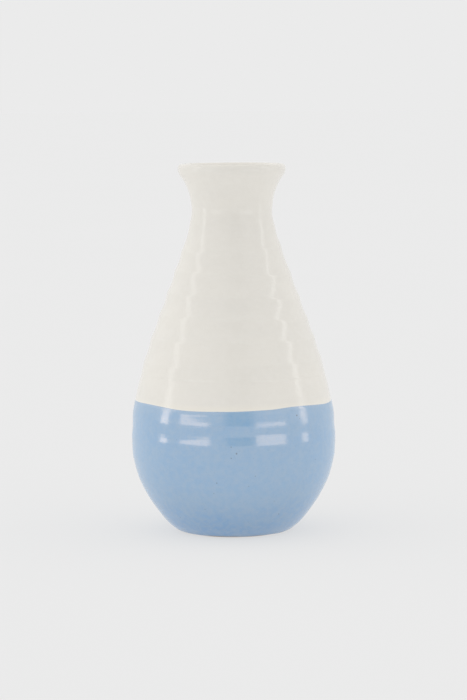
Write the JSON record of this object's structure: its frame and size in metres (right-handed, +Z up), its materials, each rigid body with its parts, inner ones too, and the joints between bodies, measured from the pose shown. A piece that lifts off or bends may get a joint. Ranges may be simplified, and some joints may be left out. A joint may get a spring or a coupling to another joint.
{
  "type": "ceramic bud vase",
  "caption": "Glazed stoneware bud vase: teardrop belly, narrow neck and flared round lip, cream above and blue below, to hold one or a few cut stems in water.",
  "frame": {"origin": "centre of the foot ring, on the surface that the vase stands on", "axes": "+Z up along the vase's axis of turning; X and Y are level and interchangeable, with -Y towards the front view"},
  "size_m": [0.0836, 0.0836, 0.15],
  "materials": {
    "clay": "bare fired stoneware, matt",
    "cream_glaze": "glossy cream glaze",
    "blue_glaze": "glossy light blue glaze with fine dark iron specks",
    "liner_glaze": "glossy cream liner glaze"
  },
  "bodies": {
    "root": {"clay_body": "clay", "cream_glaze": "cream_glaze", "blue_glaze": "blue_glaze", "liner_glaze": "liner_glaze"}
  },
  "joints": []
}
